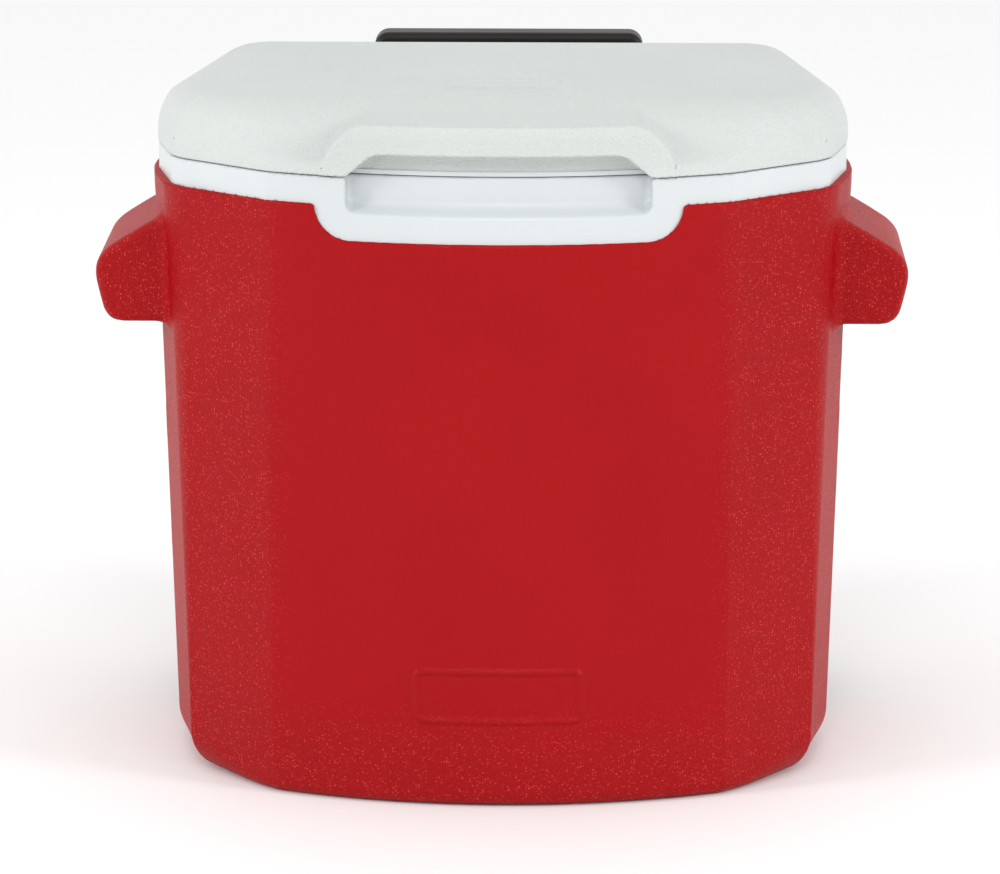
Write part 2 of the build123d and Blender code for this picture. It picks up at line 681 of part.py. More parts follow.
washer = axle_ring(9, AXLE_R, WHEEL_OUT + SPIN_GAP, WHEEL_OUT + SPIN_GAP + WASHER_T)
right_side = {"wheel": wheel.part, "axle_bush": bush.part, "push_nut": push_nut.part, "washer": washer}
for name, piece in right_side.items():
    save(piece, f"right_{name}")
    save(mirror(piece, about=Plane.YZ), f"left_{name}")
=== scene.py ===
"""Looks of the wheeled cooler chest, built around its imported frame.

The moulded skins are written as distance formulas: negative inside the plastic, zero on its
surface and positive outside. They are in millimetres from the middle of the chest, at floor level,
with X to the right, Y to the back and Z up. Each one is meshed, settled on its own zero surface and
shaded by its slope.
"""

import json
import math

import bpy
import numpy as np
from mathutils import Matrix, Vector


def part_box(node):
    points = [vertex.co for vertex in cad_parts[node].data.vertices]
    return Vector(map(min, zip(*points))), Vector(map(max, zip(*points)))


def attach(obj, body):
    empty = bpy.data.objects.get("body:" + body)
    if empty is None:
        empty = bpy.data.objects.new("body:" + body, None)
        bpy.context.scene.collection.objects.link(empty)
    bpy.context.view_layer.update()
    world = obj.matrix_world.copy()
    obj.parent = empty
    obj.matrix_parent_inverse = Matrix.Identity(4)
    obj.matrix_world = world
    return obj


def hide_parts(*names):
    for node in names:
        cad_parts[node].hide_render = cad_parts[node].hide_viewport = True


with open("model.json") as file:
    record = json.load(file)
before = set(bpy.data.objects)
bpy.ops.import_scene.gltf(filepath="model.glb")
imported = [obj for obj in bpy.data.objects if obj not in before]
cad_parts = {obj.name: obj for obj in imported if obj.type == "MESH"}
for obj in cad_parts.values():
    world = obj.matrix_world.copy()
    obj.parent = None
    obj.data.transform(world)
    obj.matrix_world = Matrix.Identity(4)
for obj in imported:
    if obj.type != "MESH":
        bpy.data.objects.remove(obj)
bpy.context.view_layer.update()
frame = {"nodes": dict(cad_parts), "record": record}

# ---------------------------------------------------------------- places, from the frame
MM = 0.001


def box_mm(node):
    """Lowest and highest corner of a CAD node in millimetres, in the row's frame."""
    low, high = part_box(node)
    return np.array(low) / MM, np.array(high) / MM


rim_low, rim_high = box_mm("inner_liner")
_, shell_high = box_mm("outer_shell")
_, lid_high = box_mm("lid_shell")
wheel_low, wheel_high = box_mm("right_wheel")
pin_low, pin_high = box_mm("right_hinge_pin")

MID_Y = (rim_low[1] + rim_high[1]) / 2
RED_TOP = shell_high[2]
SEAM_Z = rim_high[2]
LID_TOP = lid_high[2]
LID_BOTTOM = SEAM_Z + 0.6
AXLE_Y = (wheel_low[1] + wheel_high[1]) / 2 - MID_Y
AXLE_Z = (wheel_low[2] + wheel_high[2]) / 2
HINGE_X = (pin_low[0] + pin_high[0]) / 2
HINGE_Y = (pin_low[1] + pin_high[1]) / 2 - MID_Y
HINGE_Z = (pin_low[2] + pin_high[2]) / 2

# ---------------------------------------------------------------- the outline, seen from above
HALF_DEPTH = 140.0
FRONT_BOW = 26.0
CORNERS = ((135.0, -114.0), (192.0, -72.0), (205.0, -20.0), (205.0, 15.0), (180.0, 140.0))
BOW_R = (CORNERS[0][0] ** 2 + FRONT_BOW**2) / (2 * FRONT_BOW)
BOW_MID = BOW_R - HALF_DEPTH
CORNER_ROUNDS = (2.6, 8.0, 2.5, 3.0)
BACK_ROUND = 34.0


def wall_through(p, q):
    """The upright wall through two corners: its outward direction and distance from the middle."""
    dx, dy = q[0] - p[0], q[1] - p[1]
    length = math.hypot(dx, dy)
    nx, ny = dy / length, -dx / length
    return nx, ny, nx * p[0] + ny * p[1]


WALLS = [wall_through(p, q) for p, q in zip(CORNERS, CORNERS[1:])]


def round_max(a, b, r):
    """Inside both a and b, with the edge between them rounded."""
    return np.minimum(-r, np.maximum(a, b)) + np.hypot(np.maximum(a + r, 0), np.maximum(b + r, 0))


def round_min(a, b, r):
    """Inside a or b, with a fillet between them."""
    return -round_max(-a, -b, r)


def ramp(value, start, end):
    """A smooth step from 0 at start to 1 at end."""
    t = np.clip((value - start) / (end - start), 0, 1)
    return t * t * (3 - 2 * t)


def rounded_box(u, v, half_u, half_v, r):
    """A rounded rectangle about the middle."""
    return round_max(np.abs(u) - half_u, np.abs(v) - half_v, r)


def plan(x, y, inset=0.0, rounds=CORNER_ROUNDS, back_round=BACK_ROUND):
    """The chest's outline, moved inward."""
    side = np.abs(x)
    d = np.hypot(side, y - BOW_MID) - BOW_R + inset
    for (nx, ny, reach), r in zip(WALLS, rounds):
        d = round_max(d, nx * side + ny * y - reach + inset, r)
    return round_max(d, y - HALF_DEPTH + inset, back_round)


# ---------------------------------------------------------------- meshing
def field_values(field, axes):
    """The field on a grid, worked out a few layers at a time."""
    x, y, z = axes
    layers = []
    for part in np.array_split(z, max(1, len(z) // 12)):
        values = field(x[:, None, None], y[None, :, None], part[None, None, :])
        layers.append(np.broadcast_to(values, (len(x), len(y), len(part))).astype(np.float32))
    return np.concatenate(layers, axis=2)


def skin(field, low, high, step):
    """Points and four-sided faces on the field's surface: a point in each cell that it crosses."""
    axes = [
        np.arange(a - 2 * step, b + 3 * step, step, dtype=np.float32) for a, b in zip(low, high)
    ]
    values = field_values(field, axes)
    inside = values < 0
    _, rows, layers = values.shape
    cells, places, quads = [], [], []
    for a in range(3):
        b, c = (a + 1) % 3, (a + 2) % 3
        near, far = [slice(None)] * 3, [slice(None)] * 3
        near[a], far[a] = slice(0, -1), slice(1, None)
        edge = np.array(np.nonzero(inside[tuple(near)] != inside[tuple(far)]))
        end = edge.copy()
        end[a] += 1
        at_edge, at_end = values[tuple(edge)], values[tuple(end)]
        place = np.stack([axes[i][edge[i]] for i in range(3)]).astype(float)
        place[a] += step * at_edge / (at_edge - at_end)
        around = []
        for db, dc in ((0, 0), (-1, 0), (-1, -1), (0, -1)):
            cell = edge.copy()
            cell[b] += db
            cell[c] += dc
            around.append((cell[0] * rows + cell[1]) * layers + cell[2])
            cells.append(around[-1])
            places.append(place)
        quad = np.stack(around, 1)
        backwards = ~inside[tuple(edge)]
        quad[backwards] = quad[backwards, ::-1]
        quads.append(quad)
    used, which = np.unique(np.concatenate(cells), return_inverse=True)
    count = np.bincount(which)
    places = np.concatenate(places, axis=1)
    points = np.stack([np.bincount(which, weights=row) / count for row in places], 1)
    return points, np.searchsorted(used, np.concatenate(quads))


def slope(field, points, reach):
    """The field's slope at each point."""
    x, y, z = points.T
    return np.stack(
        [
            field(x + reach, y, z) - field(x - reach, y, z),
            field(x, y + reach, z) - field(x, y - reach, z),
            field(x, y, z + reach) - field(x, y, z - reach),
        ],
        1,
    ) / (2 * reach)


def settle(field, points, step, rounds=4):
    """Moves the points onto the field's surface."""
    for _ in range(rounds):
        rise = slope(field, points, 0.1)
        move = (field(*points.T) / np.maximum((rise**2).sum(1), 0.05))[:, None] * rise
        length = np.linalg.norm(move, axis=1, keepdims=True)
        points = points - move * np.minimum(1, 0.4 * step / np.maximum(length, 1e-9))
    return points


def new_mesh(name, points, faces):
    """A mesh object of points in metres and four-sided faces."""
    mesh = bpy.data.meshes.new(name)
    mesh.vertices.add(len(points))
    mesh.vertices.foreach_set("co", points.ravel())
    mesh.loops.add(faces.size)
    mesh.loops.foreach_set("vertex_index", faces.ravel().astype(np.int32))
    mesh.polygons.add(len(faces))
    mesh.polygons.foreach_set("loop_start", np.arange(0, faces.size, 4, dtype=np.int32))
    mesh.update(calc_edges=True)
    mesh.validate()
    piece = bpy.data.objects.new(name, mesh)
    bpy.context.scene.collection.objects.link(piece)
    return piece


def thin_out(piece, keep):
    """Leaves about this share of the faces, fewest where the surface is flat."""
    modifier = piece.modifiers.new("thin_out", "DECIMATE")
    modifier.ratio = keep
    graph = bpy.context.evaluated_depsgraph_get()
    mesh = bpy.data.meshes.new_from_object(piece.evaluated_get(graph))
    piece.modifiers.clear()
    old = piece.data
    piece.data = mesh
    bpy.data.meshes.remove(old)


def moulded(name, field, low, high, step, keep=0.3):
    """A moulded piece whose surface is where the field is zero.

    Its box is in millimetres from the middle.
    """
    points, faces = skin(field, low, high, step)
    points = settle(field, points, step)
    shift = np.array([0, MID_Y, 0])
    piece = new_mesh(name, (points + shift) * MM, faces)
    if keep < 1:
        thin_out(piece, keep)
    mesh = piece.data
    count = len(mesh.vertices)
    points = np.zeros(count * 3)
    mesh.vertices.foreach_get("co", points)
    points = settle(field, points.reshape(-1, 3) / MM - shift, step, 2)
    mesh.vertices.foreach_set("co", ((points + shift) * MM).ravel())
    rise = slope(field, points, 0.3)
    rise /= np.maximum(np.linalg.norm(rise, axis=1, keepdims=True), 1e-9)
    mesh.polygons.foreach_set("use_smooth", np.ones(len(mesh.polygons), bool))
    mesh.update()
    mesh.normals_split_custom_set_from_vertices(rise.tolist())
    return piece


# ---------------------------------------------------------------- red shell
DRAFT = 0.026
SHELL_T = 4.0
FOOT_FRONT, FOOT_SIDE, FOOT_BACK = 9.0, 26.0, 14.0
WELL_X, WELL_R = 148.0, 56.0
SPINE_HALF, SPINE_Y, SPINE_LOW, SPINE_TOP = 98.0, 160.0, 18.0, 344.0
TONGUE_HALF, TONGUE_LOW, TONGUE_ROUND, TONGUE_DEPTH = 105.0, 337.5, 20.0, 15.0
LEDGE = 12.0  # how far the shell's top turns in below the rim
FRONT_PART = 60.0  # the rim's tongue and the lid's visor stay this far in front of the middle
# blank plate on the front: middle x and z, half width and half height
PLATE = (0.0, 68.5, 48.0, 15.0)


def red_wall(x, y, z):
    """The leaning wall all round, with the raised border of the blank plate on its front."""
    border = np.abs(rounded_box(x - PLATE[0], z - PLATE[1], PLATE[2], PLATE[3], 5)) - 1.5
    relief = 1.2 * ramp(-border, -1.2, 0.8) * (y < 0)
    flare = 1.6 * ramp(z, 318, 350) * ramp(np.abs(x), 150, 200)
    front = ramp(-y, 50, 105)
    lean = DRAFT * (1 - 0.5 * front)
    return plan(x, y) + lean * (RED_TOP - z) - relief - flare + 0.4 * front


def tongue_shape(x, z):
    """The rim's front tongue, seen from the front."""
    return round_max(np.abs(x) - TONGUE_HALF, TONGUE_LOW - z, TONGUE_ROUND)


def chest_block(x, y, z):
    """The chest's outside with no lugs, open at the top."""
    side = np.abs(x)
    foot = FOOT_FRONT + (FOOT_SIDE - FOOT_FRONT) * ramp(side, 135, 198)
    foot = foot + (FOOT_BACK - foot) * ramp(y, 25, 75)
    d = round_max(red_wall(x, y, z), -z, foot)
    top = 0.371 * (y - SPINE_Y) + 0.928 * (z - SPINE_TOP)
    across = round_max(side - SPINE_HALF, y - SPINE_Y, 5)
    spine = round_max(across, round_max(top, SPINE_LOW - z, 3), 4)
    d = round_min(d, np.maximum(spine, 60 - y), 5)
    circle = np.hypot(y - AXLE_Y, z - AXLE_Z) - WELL_R
    below = np.maximum(AXLE_Y - WELL_R - y, z - AXLE_Z)
    behind = np.maximum(AXLE_Y - y, z - AXLE_Z - WELL_R)
    well = round_max(np.minimum(circle, np.minimum(below, behind)), WELL_X - side, 4)
    return round_max(d, -well, 3)


LUG_MID_Y, LUG_HALF, LUG_LOW, LUG_TIP = -2.0, 50.0, 270.5, 242.0


def lug(x, y, z, low):
    """One side lug on each side, down to a height."""
    side = np.abs(x)
    root = 0.387 * (side - 203) + 0.922 * (z - 335)
    top = 0.66 * (side - 218) + 0.751 * (z - 331.5)
    under = 0.92 * (side - LUG_TIP) - 0.39 * (z - 294)
    d = round_max(round_max(root, top, 16), side - LUG_TIP, 14)
    d = round_max(round_max(d, under, 14), low - z, 10)
    return np.maximum(round_max(d, np.abs(y - LUG_MID_Y) - LUG_HALF, 6), 192 - side)


def outer_shell(x, y, z):
    block = chest_block(x, y, z)
    notch = np.maximum(np.maximum(tongue_shape(x, z), -(plan(x, y) + TONGUE_DEPTH)), y + FRONT_PART)
    top = round_max(z - RED_TOP, -notch, 2.5)
    d = round_max(block, top, 1.6)
    d = round_min(d, lug(x, y, z, LUG_LOW), 6)
    pocket = round_max(lug(x, y, z, 0) + 4.5, 0.5 - red_wall(x, y, z), 4)
    d = round_max(d, -pocket, 1.5)
    hollow = round_max(block + SHELL_T, SHELL_T - notch, 2)
    ledge = np.maximum(plan(x, y) + LEDGE, RED_TOP - SHELL_T - z)
    hollow = np.minimum(np.maximum(hollow, z - RED_TOP + SHELL_T), ledge)
    return np.maximum(d, -hollow)


# ---------------------------------------------------------------- white liner
RIM_INSET = 2.5
POCKET_HALF, POCKET_LOW, POCKET_DEPTH = 87.0, 353.0, 11.0
SEAT = 1.0  # how deep the white rim and tongue sit in the red shell
FLOOR_Z, STEP_Y, STEP_Z = 38.0, 48.0, 118.0
CAVITY_ROUNDS = (20.0, 20.0, 8.0, 8.0)


def cavity(x, y, z):
    """The space inside the liner; its floor steps up over the axle and wheels."""
    d = plan(x, y, 30, CAVITY_ROUNDS, 30) + (SEAM_Z - z) * 7 / 336
    d = round_max(d, FLOOR_Z - z, 16)
    step = round_max(STEP_Y - y, z - STEP_Z, 8)
    return round_max(d, -step, 12)


def inner_liner(x, y, z):
    outline = plan(x, y) + RIM_INSET
    space = cavity(x, y, z)
    rim = np.maximum(outline, RED_TOP - SEAT - z)
    rim = np.maximum(rim, -np.maximum(outline + 3, z - SEAM_Z + 3))
    tongue = np.maximum(outline, tongue_shape(x, z) - SEAT)
    tongue = np.maximum(tongue, np.maximum(-(outline + 12), y + FRONT_PART))
    d = np.minimum(np.minimum(rim, tongue), space - 3.2)
    d = round_max(d, z - SEAM_Z, 0.9)
    depth = outline + POCKET_DEPTH
    floor = POCKET_LOW + 0.36 * np.clip(-outline, -2, POCKET_DEPTH + 4) - z
    mouth = round_max(np.abs(x) - POCKET_HALF, floor, 5)
    pocket = np.maximum(round_max(mouth, -depth, 4), y + FRONT_PART)
    wall = np.maximum(np.maximum(mouth - 3, -(depth + 3)), outline)
    wall = np.maximum(wall, np.maximum(z - SEAM_Z, y + FRONT_PART))
    d = np.minimum(d, wall)
    d = round_max(d, -pocket, 1.8)
    return round_max(d, -space, 2.5)


# ---------------------------------------------------------------- lid
LID_INSET = 1.0
LID_T = 3.2
# where the bevel of each wall starts and how far in it ends: facet, shoulder, side, rear, back
BEVELS = ((381.0, 12.0), (383.0, 11.0), (389.0, 9.0), (384.0, 15.0), (391.0, 10.0))
BEVEL_ROUNDS = (3.0, 6.0, 3.0, 3.0, 20.0)
TOP_ROUND = 12.0
FRONT_BEVEL_Z = 379.0
TOP_FRONT_Y, TOP_FRONT_BOW = -87.0, 3.0
TOP_Z = LID_TOP - 0.5
VISOR_Z = 406.2
LIP_Z = 388.0
UNDERCUT = 14.0
LID_PLATE = (0.0, -25.0, 34.0, 13.0)


def lid_block(x, y, z):
    """The lid's outside, open below, with its front visor."""
    side = np.abs(x)
    upright = plan(x, y, LID_INSET)
    front_y = BOW_MID - np.sqrt(np.maximum(BOW_R**2 - side**2, 1)) + LID_INSET
    top_y = TOP_FRONT_Y + TOP_FRONT_BOW * (side / CORNERS[0][0]) ** 2
    run = np.maximum(top_y - front_y, 8)
    rise = TOP_Z - FRONT_BEVEL_Z
    d = (z - FRONT_BEVEL_Z - rise * (y - front_y) / run) * run / np.hypot(run, rise)
    walls = [nx * side + ny * y - reach for nx, ny, reach in WALLS] + [y - HALF_DEPTH]
    for wall, (start, inward), r in zip(walls, BEVELS, BEVEL_ROUNDS):
        tall = TOP_Z - start
        plane = ((wall + LID_INSET) * tall + (z - start) * inward) / math.hypot(tall, inward)
        d = round_max(d, plane, r)
    lean = 0.06 * np.maximum(388 - z, 0) * ramp(side, 60, 150)
    d = round_max(d, upright + lean, 4)
    flank = round_max(0.74 * (side - 96) + 0.67 * (z - 390), side - 101.5, 8)
    roof = z - np.minimum(VISOR_Z + (TOP_Z - VISOR_Z) * (y - front_y) / run, TOP_Z)
    body = round_max(flank, roof, 5)
    bead = 0.9 * np.exp(-(((upright + 3.4) / 2.0) ** 2))
    lip = bead - 0.6 * np.exp(-(((upright + 8.5) / 2.2) ** 2))
    visor = round_max(body - lip, upright, 2)
    d = round_min(d, np.maximum(visor, y + FRONT_PART), 2.5)
    plate = rounded_box(x - LID_PLATE[0], y - LID_PLATE[1], LID_PLATE[2], LID_PLATE[3], 4)
    border = np.abs(plate) - 1.0
    return round_max(d, z - TOP_Z - 0.5 * ramp(-border, -0.5, 0.5), TOP_ROUND)


def undercut(x, y, z):
    """The finger space below the visor's lip."""
    flank = 0.642 * (np.abs(x) - POCKET_HALF) + 0.767 * (z - LID_BOTTOM)
    d = round_max(flank, z - LIP_Z, 3)
    return np.maximum(round_max(d, -(plan(x, y) + LID_INSET + UNDERCUT), 4), y + FRONT_PART)


def hinge_lugs(x, y, z):
    """The four lid lugs that the hinge pins pass through."""
    across = np.abs(np.abs(np.abs(x) - HINGE_X) - 16.5) - 4
    low = 0.596 * (y - HINGE_Y) - 0.803 * (z - HINGE_Z + 5.5)
    arm = np.maximum(np.maximum(z - HINGE_Z - 5.5, y - HINGE_Y), np.maximum(low, 110 - y))
    profile = np.minimum(np.hypot(y - HINGE_Y, z - HINGE_Z) - 5.5, arm)
    return round_max(profile, across, 1)


def lid_shell(x, y, z):
    block = lid_block(x, y, z)
    cut = undercut(x, y, z)
    d = round_min(round_max(block, -cut, 1.2), hinge_lugs(x, y, z), 2)
    d = round_max(d, LID_BOTTOM - z, 0.6)
    return np.maximum(d, -round_max(block + LID_T, LID_T - cut, 2))


# ---------------------------------------------------------------- wheels
WHEEL_R = (wheel_high[2] - wheel_low[2]) / 2
WHEEL_X = (wheel_low[0] + wheel_high[0]) / 2
WHEEL_HALF = (wheel_high[0] - wheel_low[0]) / 2
TREADS, SPOKES = 40, 6


def wheel(x, y, z):
    """Both wheels: a ribbed tyre and rim, six spokes, and a hub with its bore."""
    across = np.abs(x) - WHEEL_X
    r = np.hypot(y - AXLE_Y, z - AXLE_Z)
    turn = np.arctan2(z - AXLE_Z, y - AXLE_Y)
    rib = 0.9 * ramp(np.cos(TREADS * turn + 2.2 * np.sign(across)), -0.25, 0.25)
    rib = rib * ramp(np.abs(across), 1.2, 2.4)
    tyre = round_max(np.abs(across) - WHEEL_HALF, r - WHEEL_R + 0.9 - rib, 3.5)
    d = round_max(tyre, -round_max(r - 38.0, 4.0 - np.abs(across), 2), 1.2)
    groove = np.hypot(r - 41.5, np.abs(across) - WHEEL_HALF) - 1.2
    d = np.maximum(np.maximum(d, -groove), 33.0 - r)
    fold = np.mod(turn + math.pi / SPOKES, 2 * math.pi / SPOKES) - math.pi / SPOKES
    spoke = round_max(round_max(np.abs(r * np.sin(fold)) - 4.5, np.abs(across) - 8, 2), r - 36, 1)
    spoke = np.maximum(spoke, 6 - r * np.cos(fold))
    hub = round_max(np.abs(across) - WHEEL_HALF + 1, r - 11, 2)
    d = round_min(round_min(d, spoke, 4), hub, 4)
    return np.maximum(round_max(d, 4.3 - r, 0.6), np.abs(across) - WHEEL_HALF)


# ---------------------------------------------------------------- foam
GAP = 0.3


def body_insulation(x, y, z):
    """Foam that fills the space between the red shell and the liner."""
    d = np.maximum(chest_block(x, y, z) + SHELL_T + GAP, z - RED_TOP + 1)
    notch = np.maximum(tongue_shape(x, z) - 1, y + FRONT_PART)
    return np.maximum(np.maximum(d, -notch), 3.2 + GAP - cavity(x, y, z))


def lid_insulation(x, y, z):
    """Foam inside the lid."""
    d = np.maximum(lid_block(x, y, z) + LID_T + GAP, 379 - z)
    return np.maximum(d, LID_T + GAP - undercut(x, y, z))


# ---------------------------------------------------------------- materials
def material(name, colour, roughness):
    """A plastic or metal with its shader, ready for more nodes."""
    m = bpy.data.materials.new(name)
    m.use_nodes = True
    shader = m.node_tree.nodes["Principled BSDF"]
    shader.inputs["Base Color"].default_value = (*colour, 1)
    shader.inputs["Roughness"].default_value = roughness
    return m, m.node_tree.nodes, m.node_tree.links, shader


def pebbled(name, colour, dark, roughness, size, height, specular=0.5, coat=0.0):
    """Moulded plastic with a pebbled grain: rounded pebbles over finer ones, and slight wear."""
    m, nodes, links, shader = material(name, colour, roughness)
    shader.inputs["Specular IOR Level"].default_value = specular
    shader.inputs["Coat Weight"].default_value = coat
    shader.inputs["Coat Roughness"].default_value = 0.16
    place = nodes.new("ShaderNodeTexCoord")
    pebbles = nodes.new("ShaderNodeTexVoronoi")
    pebbles.feature = "SMOOTH_F1"
    pebbles.inputs["Scale"].default_value = 1 / size
    pebbles.inputs["Smoothness"].default_value = 0.6
    fine = nodes.new("ShaderNodeTexNoise")
    fine.inputs["Scale"].default_value = 2.2 / size
    fine.inputs["Detail"].default_value = 3
    mix = nodes.new("ShaderNodeMath")
    mix.operation = "MULTIPLY_ADD"
    mix.inputs[1].default_value = 0.5
    bump = nodes.new("ShaderNodeBump")
    bump.inputs["Strength"].default_value = 1.0
    bump.inputs["Distance"].default_value = height
    for texture in (pebbles, fine):
        links.new(place.outputs["Object"], texture.inputs["Vector"])
    links.new(fine.outputs["Fac"], mix.inputs[0])
    links.new(pebbles.outputs["Distance"], mix.inputs[2])
    links.new(mix.outputs[0], bump.inputs["Height"])
    links.new(bump.outputs["Normal"], shader.inputs["Normal"])
    links.new(bump.outputs["Normal"], shader.inputs["Coat Normal"])
    clouds = nodes.new("ShaderNodeTexNoise")
    clouds.inputs["Scale"].default_value = 9
    clouds.inputs["Detail"].default_value = 4
    tint = nodes.new("ShaderNodeMix")
    tint.data_type = "RGBA"
    tint.inputs["A"].default_value = (*dark, 1)
    tint.inputs["B"].default_value = (*colour, 1)
    spread = nodes.new("ShaderNodeMapRange")
    spread.inputs["From Min"].default_value = 0.3
    spread.inputs["From Max"].default_value = 0.6
    rough = nodes.new("ShaderNodeMapRange")
    rough.inputs["To Min"].default_value = roughness + 0.06
    rough.inputs["To Max"].default_value = roughness - 0.04
    links.new(place.outputs["Object"], clouds.inputs["Vector"])
    links.new(clouds.outputs["Fac"], spread.inputs["Value"])
    links.new(spread.outputs["Result"], tint.inputs["Factor"])
    links.new(tint.outputs["Result"], shader.inputs["Base Color"])
    links.new(clouds.outputs["Fac"], rough.inputs["Value"])
    links.new(rough.outputs["Result"], shader.inputs["Roughness"])
    return m


GLINT_SPECK_SPACING = 0.0015  # between the painted glint specks, lighter dots of colour standing in for glints, in metres


def smoother_front_and_painted_glints(m):
    """Fades the pebbles on the middle of the front wall, and paints lighter red specks elsewhere as
    painted glints, base colour standing in for light caught by the pebbles.
    """
    nodes, links = m.node_tree.nodes, m.node_tree.links
    shader = nodes["Principled BSDF"]
    place = nodes.new("ShaderNodeTexCoord")
    axes = nodes.new("ShaderNodeSeparateXYZ")
    side = nodes.new("ShaderNodeMath")
    side.operation = "ABSOLUTE"
    across = nodes.new("ShaderNodeMapRange")
    across.interpolation_type = "SMOOTHSTEP"
    across.inputs["From Min"].default_value = 0.112
    across.inputs["From Max"].default_value = 0.150
    foot = nodes.new("ShaderNodeMapRange")
    foot.interpolation_type = "SMOOTHSTEP"
    foot.inputs["From Min"].default_value = 0.075
    foot.inputs["From Max"].default_value = 0.02
    back = nodes.new("ShaderNodeMapRange")
    back.inputs["From Min"].default_value = -0.11
    back.inputs["From Max"].default_value = -0.09
    rough = nodes.new("ShaderNodeMath")
    rough.operation = "MAXIMUM"
    most = nodes.new("ShaderNodeMath")
    most.operation = "MAXIMUM"
    links.new(place.outputs["Object"], axes.inputs[0])
    links.new(axes.outputs["X"], side.inputs[0])
    links.new(side.outputs[0], across.inputs["Value"])
    links.new(axes.outputs["Z"], foot.inputs["Value"])
    links.new(axes.outputs["Y"], back.inputs["Value"])
    links.new(across.outputs["Result"], rough.inputs[0])
    links.new(foot.outputs["Result"], rough.inputs[1])
    links.new(rough.outputs[0], most.inputs[0])
    links.new(back.outputs["Result"], most.inputs[1])
    strength = nodes.new("ShaderNodeMapRange")
    strength.inputs["To Min"].default_value = 0.25
    strength.inputs["To Max"].default_value = 1.0
    links.new(most.outputs[0], strength.inputs["Value"])
    links.new(strength.outputs["Result"], nodes["Bump"].inputs["Strength"])
    # Painted glints: scattered dots of lighter red (0.72, 0.055, 0.05) mixed into the base colour
    # in place of real glints; they fade out with the pebbles on the middle of the front wall.
    painted_glint_specks = nodes.new("ShaderNodeTexVoronoi")
    painted_glint_specks.inputs["Scale"].default_value = 1 / GLINT_SPECK_SPACING
    near = nodes.new("ShaderNodeMapRange")
    near.inputs["From Min"].default_value = 0.42
    near.inputs["From Max"].default_value = 0.18
    pick = nodes.new("ShaderNodeSeparateColor")
    chosen = nodes.new("ShaderNodeMapRange")
    chosen.inputs["From Min"].default_value = 0.45
    chosen.inputs["From Max"].default_value = 1.0
    painted_glint_spot = nodes.new("ShaderNodeMath")
    painted_glint_spot.operation = "MULTIPLY"
    painted_glint_amount = nodes.new("ShaderNodeMath")
    painted_glint_amount.operation = "MULTIPLY"
    tint = nodes.new("ShaderNodeMix")
    tint.data_type = "RGBA"
    tint.inputs["B"].default_value = (0.72, 0.055, 0.05, 1)
    links.new(place.outputs["Object"], painted_glint_specks.inputs["Vector"])
    links.new(painted_glint_specks.outputs["Distance"], near.inputs["Value"])
    links.new(painted_glint_specks.outputs["Color"], pick.inputs[0])
    links.new(pick.outputs[0], chosen.inputs["Value"])
    links.new(near.outputs["Result"], painted_glint_spot.inputs[0])
    links.new(chosen.outputs["Result"], painted_glint_spot.inputs[1])
    links.new(painted_glint_spot.outputs[0], painted_glint_amount.inputs[0])
    links.new(most.outputs[0], painted_glint_amount.inputs[1])
    links.new(painted_glint_amount.outputs[0], tint.inputs["Factor"])
    links.new(nodes["Mix"].outputs["Result"], tint.inputs["A"])
    links.new(tint.outputs["Result"], shader.inputs["Base Color"])


red = pebbled(
    "red_pebbled_plastic", (0.345, 0.0024, 0.0042), (0.325, 0.002, 0.0038), 0.4, 0.001, 0.0006,
    specular=0.03, coat=0.2,
)
# Smoother middle front and painted glint specks on the red plastic.
smoother_front_and_painted_glints(red)
white_lid = pebbled(
    "white_pebbled_plastic", (0.575, 0.605, 0.59), (0.55, 0.58, 0.565), 0.45, 0.001, 0.0004,
    specular=0.3,
)
white_rim = pebbled(
    "white_smooth_plastic", (0.60, 0.635, 0.645), (0.58, 0.615, 0.625), 0.28, 0.004, 0.00002,
    specular=0.4,
)
black = pebbled(
    "black_textured_plastic", (0.010, 0.009, 0.008), (0.006, 0.005, 0.005), 0.4, 0.0008, 0.00006,
    specular=0.25,
)
foam = pebbled("cream_foam", (0.80, 0.74, 0.52), (0.72, 0.66, 0.46), 0.85, 0.0016, 0.0003)


def brushed(name, colour, roughness, along, scale):
    """Drawn or turned metal: fine lines along one direction."""
    m, nodes, links, shader = material(name, colour, roughness)
    shader.inputs["Metallic"].default_value = 1.0
    place = nodes.new("ShaderNodeTexCoord")
    stretch = nodes.new("ShaderNodeMapping")
    stretch.inputs["Scale"].default_value = [
        scale * (0.02 if axis == along else 1) for axis in range(3)
    ]
    lines = nodes.new("ShaderNodeTexNoise")
    lines.inputs["Scale"].default_value = 1
    lines.inputs["Detail"].default_value = 5
    rough = nodes.new("ShaderNodeMapRange")
    rough.inputs["To Min"].default_value = roughness - 0.1
    rough.inputs["To Max"].default_value = roughness + 0.12
    bump = nodes.new("ShaderNodeBump")
    bump.inputs["Distance"].default_value = 0.00003
    links.new(place.outputs["Object"], stretch.inputs["Vector"])
    links.new(stretch.outputs["Vector"], lines.inputs["Vector"])
    links.new(lines.outputs["Fac"], rough.inputs["Value"])
    links.new(rough.outputs["Result"], shader.inputs["Roughness"])
    links.new(lines.outputs["Fac"], bump.inputs["Height"])
    links.new(bump.outputs["Normal"], shader.inputs["Normal"])
    return m


tube_metal = brushed("drawn_aluminium", (0.80, 0.81, 0.82), 0.3, 2, 2500)
zinc = brushed("zinc_plated_steel", (0.62, 0.62, 0.60), 0.32, 0, 1500)


# ---------------------------------------------------------------- pieces
def finish(piece, look, slot, body, *replaced):
    """Gives a piece its material and body, and hides the CAD nodes that it stands for. The slot
    argument is not used.
    """
    piece.data.materials.clear()
    piece.data.materials.append(look)
    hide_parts(*replaced)
    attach(piece, body)


